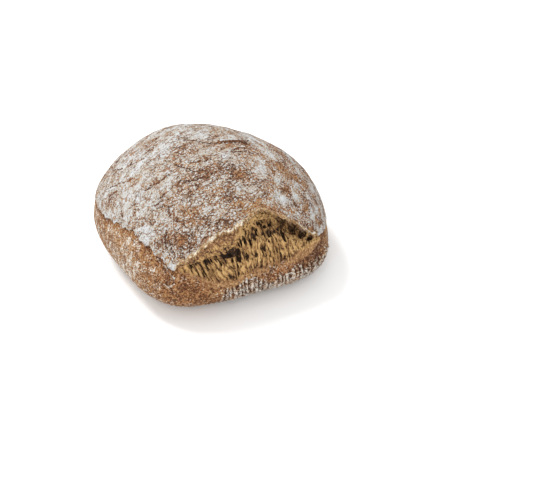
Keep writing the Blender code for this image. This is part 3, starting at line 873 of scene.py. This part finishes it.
def thin_out(piece, triangles):
    """Bring a piece of quads down to so many triangles, and drop pairs of triangles folded onto each
    other."""
    thinned = piece.modifiers.new("thinned", "DECIMATE")
    thinned.ratio = triangles / (2 * len(piece.data.polygons))
    thinned.use_collapse_triangulate = True
    graph = bpy.context.evaluated_depsgraph_get()
    shown = piece.evaluated_get(graph)
    mesh = bpy.data.meshes.new_from_object(shown, preserve_all_data_layers=True, depsgraph=graph)
    piece.modifiers.remove(thinned)
    corners = np.empty(len(mesh.loops), np.int32)
    mesh.loops.foreach_get("vertex_index", corners)
    corners = np.sort(corners.reshape(-1, 3), axis=1)
    _, same, count = np.unique(corners, axis=0, return_inverse=True, return_counts=True)
    folded = np.flatnonzero(count[same.ravel()] > 1)
    editor = bmesh.new()
    editor.from_mesh(mesh)
    editor.faces.ensure_lookup_table()
    bmesh.ops.delete(editor, geom=[editor.faces[number] for number in folded], context="FACES")
    editor.to_mesh(mesh)
    editor.free()
    piece.data = mesh


def make_torn_crumb(material):
    """The crumb bared by the tear, as the surface of its field, carried from the lattice to its place."""
    field, envelope, axes = crumb_field()
    steps, faces = net_surface(without_scraps(field))
    azimuth, elevation, depth = (
        np.interp(steps[:, axis], np.arange(len(values)), values) for axis, values in enumerate(axes)
    )
    plain, _ = surface(azimuth, elevation)
    points = plain + INTO_TEAR * (depth * MM)[:, None]
    face_depth = envelope[tuple(np.round(steps).astype(int).T)]
    share, above = tear_share(azimuth, elevation), above_crease(azimuth, elevation)
    flap = in_flap(azimuth, above, 0.0, 0.08)
    # Painted shade along the crease under the flap. It is carried together with the browning towards the
    # foot, the lip and over the flap.
    crease_shade = np.exp(-(((above + 0.03) / 0.06) ** 2)) * (1.0 - smooth_step(*FLAP_END, azimuth))
    toast_and_crease_shade = smooth_step(0.26, -0.05, share) + 0.6 * smooth_step(0.90, 1.0, share)
    toast_and_crease_shade += flap * (1.2 + 1.0 * smooth_step(0.72, 0.95, share))
    toast_and_crease_shade += 1.2 * crease_shade - 1.1 * in_peak(azimuth, above)
    place = fibre_place(azimuth, elevation, depth)
    patchy = 0.12 * gradient_noise(place / 2.0, 70) + 0.08 * gradient_noise(place / 0.9, 64)
    scorched_flap = flap * smooth_step(0.80, 0.92, share + 0.6 * patchy)
    attributes = {
        # painted shade: darker the further a point lies behind the crumb's face, in pores and caves, and
        # deep in the tear
        "painted_depth_shade": np.clip((depth - face_depth) / 3.0, 0.0, 1.0) + 0.25 * smooth_step(4.0, 9.0, depth),
        "scorched": smooth_step(0.13, 0.02, share + patchy) + scorched_flap,
        "rough": flap + 0.9 * smooth_step(*RIGHT_START, azimuth),
        # painted highlight on the crests of the strands and painted shade in the grooves between them
        "crest_light_groove_shade": strand_relief(place, azimuth, elevation) * (1.0 + 0.9 * flap),
        # browning towards the crust and over the flap, plus the painted shade of the crease
        "toast_and_crease_shade": toast_and_crease_shade,
        "across": place[:, 0],
        "along": place[:, 1],
    }
    # The lattice's third axis runs into the tear, which turns its faces inside out.
    crumb = add_mesh("torn_crumb", points, [faces[:, ::-1]], attributes, material)
    thin_out(crumb, CRUMB_TRIANGLES)
    return crumb


# ---- Materials -----------------------------------------------------------------------------------


class Value:
    """A number in a material's node tree, which is added and multiplied like any other number."""

    def __init__(self, nodes, socket):
        self.nodes, self.socket = nodes, socket

    def __add__(self, other):
        return self.nodes.maths("ADD", self, other)

    def __sub__(self, other):
        return self.nodes.maths("SUBTRACT", self, other)

    def __rsub__(self, other):
        return self.nodes.maths("SUBTRACT", other, self)

    def __mul__(self, other):
        return self.nodes.maths("MULTIPLY", self, other)


class Nodes:
    """Short ways to add and join the nodes of one material. Its noise runs about 0."""

    def __init__(self, name):
        self.material = bpy.data.materials.new(name)
        self.material.use_nodes = True
        self.tree = self.material.node_tree

    def set(self, socket, value):
        if isinstance(value, Value):
            self.tree.links.new(value.socket, socket)
        else:
            socket.default_value = value

    def add(self, kind, output, inputs, **settings):
        """One output of a new node."""
        node = self.tree.nodes.new(kind)
        for key, value in settings.items():
            setattr(node, key, value)
        for key, value in inputs.items():
            self.set(node.inputs[key], value)
        return Value(self, node.outputs[output])

    def finish(self, inputs):
        """The material, with these inputs of its shader set."""
        for key, value in inputs.items():
            self.set(self.tree.nodes["Principled BSDF"].inputs[key], value)
        return self.material

    def attribute(self, name):
        return self.add("ShaderNodeAttribute", "Fac", {}, attribute_name=name)

    def place(self):
        return self.add("ShaderNodeTexCoord", "Object", {})

    def noise(self, size, detail, roughness):
        settings = {"Scale": 1.0 / (size * MM), "Detail": detail, "Roughness": roughness}
        return self.add("ShaderNodeTexNoise", "Fac", {"Vector": self.place(), **settings}) - 0.5

    def drawn_places(self, stretch):
        """Places drawn out along the dough's stretch, by its heading on the left and by that on the
        right."""
        place = self.place()
        for heading in (LEFT_HEADING, RIGHT_HEADING):
            turn = (0.0, 0.0, math.radians(heading))
            inputs = {"Vector": place, "Rotation": turn, "Scale": (stretch, 1.0, 1.0)}
            yield self.add("ShaderNodeMapping", "Vector", inputs, vector_type="TEXTURE")

    def drawn_noise(self, size, stretch):
        """Noise drawn out along the stretch of the dough."""
        settings = {"Scale": 1.0 / (size * MM), "Detail": 0.0}
        left, right = (
            self.add("ShaderNodeTexNoise", "Fac", {"Vector": place, **settings})
            for place in self.drawn_places(stretch)
        )
        return self.by_side(left, right) - 0.5

    def flakes(self, size, stretch):
        """Uneven flakes drawn out along the stretch of the dough: a random number for each, about 0, and
        how far a place is inside its flake, as a share of its size."""
        size *= MM
        marks, gaps = [], []
        for place in self.drawn_places(stretch):
            inputs = {"Vector": place, "Scale": 0.9 / size, "Detail": 2.0}
            wobble = self.add("ShaderNodeTexNoise", "Color", inputs)
            inputs = {0: wobble, "Scale": 1.6 * size}
            shift = self.add("ShaderNodeVectorMath", "Vector", inputs, operation="SCALE")
            moved = self.add("ShaderNodeVectorMath", "Vector", {0: place, 1: shift}, operation="ADD")
            inputs = {"Vector": moved, "Scale": 1.0 / size}
            colour = self.add("ShaderNodeTexVoronoi", "Color", inputs)
            marks.append(self.add("ShaderNodeSeparateColor", "Red", {"Color": colour}))
            gaps.append(self.add("ShaderNodeTexVoronoi", "Distance", inputs, feature="DISTANCE_TO_EDGE"))
        return self.by_side(*marks) - 0.5, self.by_side(*gaps)

    def right_share(self):
        """0 over the left of the roll, and 1 on its right flank."""
        return self.step(self.add("ShaderNodeSeparateXYZ", "X", {"Vector": self.place()}), *RIGHT_FLANK)

    def by_side(self, left, right):
        """One value over the left of the roll, blended into the other on its right flank."""
        share = self.right_share()
        return left * (1.0 - share) + right * share

    def maths(self, operation, first, second=0.0):
        return self.add("ShaderNodeMath", 0, {0: first, 1: second}, operation=operation)

    def greatest(self, value, *others):
        for other in others:
            value = self.maths("MAXIMUM", value, other)
        return value

    def step(self, value, low, high):
        inputs = {"Value": value, "From Min": low, "From Max": high}
        return self.add("ShaderNodeMapRange", "Result", inputs, interpolation_type="SMOOTHSTEP")

    def ramp(self, value, *stops):
        colour = self.add("ShaderNodeValToRGB", "Color", {"Fac": value})
        elements = colour.socket.node.color_ramp.elements
        while len(elements) < len(stops):
            elements.new(0.5)
        for element, (position, tone) in zip(elements, stops):
            element.position = position
            element.color = (*tone, 1.0)
        return colour

    def mix(self, share, first, second):
        return self.add("ShaderNodeMix", 2, {0: share, 6: first, 7: second}, data_type="RGBA")

    def bump(self, height, distance, strength):
        inputs = {"Height": height, "Distance": distance, "Strength": strength}
        return self.add("ShaderNodeBump", "Normal", inputs)


CRUST_TONES = (
    (0.0, (0.42, 0.265, 0.13)),
    (0.35, (0.34, 0.175, 0.070)),
    (0.65, (0.245, 0.098, 0.035)),
    (1.0, (0.075, 0.028, 0.011)),
)
FLOUR_TONES = ((0.0, (0.32, 0.24, 0.165)), (0.55, (0.39, 0.36, 0.315)), (1.0, (0.50, 0.51, 0.515)))
SIDE_FLOUR_TONES = ((0.0, (0.44, 0.34, 0.25)), (0.55, (0.53, 0.47, 0.39)), (1.0, (0.63, 0.61, 0.57)))
SKIN_LOOK = (1.0, 0.9, 0.0, 0.09, FLOUR_TONES)  # contrast, share of cracks, tan, veil of flour, its tones
CRUST_LOOK = (1.2, 0.7, 0.12, 0.0, SIDE_FLOUR_TONES)
RIM_TONES = ((0.0, (0.28, 0.145, 0.06)), (0.5, (0.47, 0.33, 0.18)), (1.0, (0.68, 0.62, 0.52)))


def floured_crust_material(name, contrast, crack_share, tan, veil, flour_tones):
    """Browned crust under a dusting of flour. The flour dried to flakes of two sizes, each with its own
    share of it, with dark cracks between them. Fine noise breaks it most where it is neither thick nor
    thin."""
    nodes = Nodes(name)
    flour, ribbed, rim = (nodes.attribute(key) for key in ("flour", "ribbed", "rim"))
    right = nodes.right_share()
    dust = nodes.drawn_noise(0.62, 1.4) * contrast * (right * 0.5 + 1.0)
    grain = nodes.drawn_noise(1.2, 1.8) * contrast
    speck = nodes.noise(2.8, 2.0, 0.6)
    thick = nodes.step(flour, 0.45, 0.95)
    flake_mark, flake_gap = nodes.flakes(3.2, 1.9)
    chip_mark, chip_gap = nodes.flakes(1.5, 1.6)

    short = nodes.step(nodes.noise(2.4, 1.0, 0.5) - thick * 0.13, -0.02, 0.06)
    long = nodes.step(nodes.noise(5.0, 1.0, 0.5), -0.04, 0.04)
    short_cracks = nodes.step(chip_gap, 0.11, 0.03) * short
    long_cracks = nodes.step(flake_gap, 0.06, 0.02) * long
    threads = nodes.step(nodes.maths("ABSOLUTE", nodes.drawn_noise(1.8, 7.0)), 0.045, 0.015)
    threads = threads * nodes.step(speck, -0.02, 0.06)
    pits = nodes.step(nodes.drawn_noise(0.65, 1.4) - thick * 0.04, 0.14, 0.22)
    cracks = nodes.greatest(short_cracks, long_cracks, threads, pits) * crack_share
    line = nodes.step(nodes.attribute("line") + dust * 1.5, 1.0, 0.45)
    cracks = nodes.greatest(cracks * (1.0 - right * 0.25), line)

    ribs = (nodes.maths("COSINE", nodes.attribute("rib") * (2.0 * math.pi)) + grain + dust * 0.8) * ribbed
    broken = dust * 3.2 + grain * 0.4 + speck * 0.5
    held = nodes.step(flour, 0.0, 0.5) * 0.60 - thick * 0.80 + 0.40
    amount = flour + broken * held + flake_mark * 0.10 + chip_mark * 0.16 + ribs * 0.55 + ribbed * 0.32
    bare = (1.0 - nodes.step(amount, 0.0, 0.9)) * ((1.0 - veil) - thick * 0.35)
    cover = (1.0 - bare) * (1.0 - cracks) * (1.0 - rim)
    powder = nodes.ramp(nodes.step(amount, 0.25, 1.25), *flour_tones)

    tone = nodes.attribute("bake") - thick * 0.35 + speck * 0.5 - grain * 0.3 - dust * 1.2 + cracks * 0.5
    tone = tone + line * 0.20 - ribs * 0.60 + ribbed * 0.15 - tan
    rim_tone = nodes.attribute("cream") * 0.8 + grain * 1.2 + dust * 1.8
    crust = nodes.mix(rim, nodes.ramp(tone, *CRUST_TONES), nodes.ramp(rim_tone, *RIM_TONES))
    height = grain * 0.4 + dust * 0.7 + speck * 0.3 - cracks * 0.8
    inputs = {
        "Base Color": nodes.mix(cover, crust, powder),
        "Roughness": 0.88,
        "Specular IOR Level": 0.25,
        "Normal": nodes.bump(height, 0.6 * MM, 1.0),
    }
    return nodes.finish(inputs)


CRUMB_TONES = (
    (0.0, (0.53, 0.335, 0.142)),
    (0.35, (0.40, 0.230, 0.086)),
    (0.7, (0.23, 0.120, 0.048)),
    (1.0, (0.030, 0.015, 0.007)),
)
SCORCHED_TONES = ((0.0, (0.48, 0.32, 0.17)), (0.4, (0.28, 0.135, 0.055)), (1.0, (0.10, 0.042, 0.017)))


def crumb_material():
    """Golden-brown crumb, streaked along its strands and browned towards the crust, with painted shade
    deep in its pores and in its crease, and a painted highlight on its strands' crests with painted shade
    between them."""
    nodes = Nodes("torn_crumb")
    across, along = nodes.attribute("across") * 1.7, nodes.attribute("along") * 0.4
    inputs = {"Vector": nodes.add("ShaderNodeCombineXYZ", "Vector", {"X": across, "Y": along})}
    fibres = nodes.add("ShaderNodeTexNoise", "Fac", {**inputs, "Scale": 1.0, "Detail": 3.0}) - 0.5
    fine = nodes.noise(0.9, 3.0, 0.6)
    broad = nodes.noise(4.0, 2.0, 0.5)
    # Painted shade deep in the crumb and along its crease, added to the browning towards the crust.
    tone = nodes.attribute("painted_depth_shade") * 0.80 + nodes.attribute("toast_and_crease_shade") * 0.30
    # Painted highlight on the strands' crests and painted shade in their grooves.
    tone = tone - nodes.attribute("crest_light_groove_shade") * 0.26 - fibres * 2.2 - fine * 1.7
    tone = tone - fine * nodes.attribute("rough") * 1.4 + broad * 0.7 + 0.02
    baked = nodes.ramp(fine * -2.6 - fibres + 0.50, *SCORCHED_TONES)
    scorched = nodes.attribute("scorched") * 0.8
    inputs = {
        "Base Color": nodes.mix(scorched, nodes.ramp(tone, *CRUMB_TONES), baked),
        "Roughness": 0.8,
        "Specular IOR Level": 0.3,
        "Normal": nodes.bump(fine + fibres * 1.2, 0.35 * MM, 0.9),
    }
    return nodes.finish(inputs)


# ---- Floor, light and camera ---------------------------------------------------------------------

FLOOR_HALF = 1.5
FLOOR_LOOK = {"Base Color": (0.95, 0.95, 0.95, 1.0), "Roughness": 0.9}
LAMPS = (  # name, spot, size, power in watts
    ("key", (-0.33, 0.68, 1.10), 0.5, 12.0),
    ("fill", (-0.55, -1.00, 0.85), 1.0, 7.5),
)
LAMP_TARGET = (0.0, 0.0, 0.02)
WORLD_STRENGTH = 0.90
CAMERA_ELEVATION, CAMERA_AZIMUTH, CAMERA_DISTANCE = 38.06, -26.63, 0.672
CAMERA_TARGET = np.array((33.5, -8.1, 0.0)) * MM
CAMERA_LENS, SENSOR_WIDTH = 85.0, 36.0


def aim(thing, spot, target):
    """Puts a lamp or camera at a spot, looking at the target."""
    thing.location = spot
    way = Vector(target) - Vector(spot)
    thing.rotation_euler = way.to_track_quat("-Z", "Y").to_euler()


def add_floor():
    corners = np.array([(-1, -1, 0), (1, -1, 0), (1, 1, 0), (-1, 1, 0)], float) * FLOOR_HALF
    look = Nodes("floor").finish(FLOOR_LOOK)
    add_mesh("floor", corners, [np.array([(0, 1, 2, 3)])], {}, look)


def add_area_lamp(name, spot, size, power):
    lamp = bpy.data.lights.new(name, "AREA")
    lamp.shape = "DISK"
    lamp.size = size
    lamp.energy = power
    made = bpy.data.objects.new(name, lamp)
    bpy.context.scene.collection.objects.link(made)
    aim(made, spot, LAMP_TARGET)


def add_light():
    world = bpy.data.worlds.new("studio")
    world.use_nodes = True
    background = world.node_tree.nodes["Background"]
    background.inputs["Color"].default_value = (1.0, 1.0, 1.0, 1.0)
    background.inputs["Strength"].default_value = WORLD_STRENGTH
    bpy.context.scene.world = world
    for lamp in LAMPS:
        add_area_lamp(*lamp)
    bpy.context.scene.view_settings.view_transform = "Standard"


def add_camera():
    climb, turn = math.radians(CAMERA_ELEVATION), math.radians(CAMERA_AZIMUTH)
    way = np.array((math.sin(turn) * math.cos(climb), -math.cos(turn) * math.cos(climb), math.sin(climb)))
    camera = bpy.data.cameras.new("camera")
    camera.lens = CAMERA_LENS
    camera.sensor_width = SENSOR_WIDTH
    camera.clip_start = 0.01
    made = bpy.data.objects.new("camera", camera)
    bpy.context.scene.collection.objects.link(made)
    aim(made, CAMERA_TARGET + way * CAMERA_DISTANCE, CAMERA_TARGET)
    bpy.context.scene.camera = made


def main():
    add_camera()
    add_floor()
    add_light()
    pieces = (
        (make_floured_skin(floured_crust_material("floured_skin", *SKIN_LOOK)), "crust"),
        (make_baked_crust(floured_crust_material("baked_crust", *CRUST_LOOK)), "crust"),
        (make_torn_crumb(crumb_material()), "crumb"),
    )
    for piece, slot in pieces:
        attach(piece, BODY)
        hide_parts(NODE)


main()
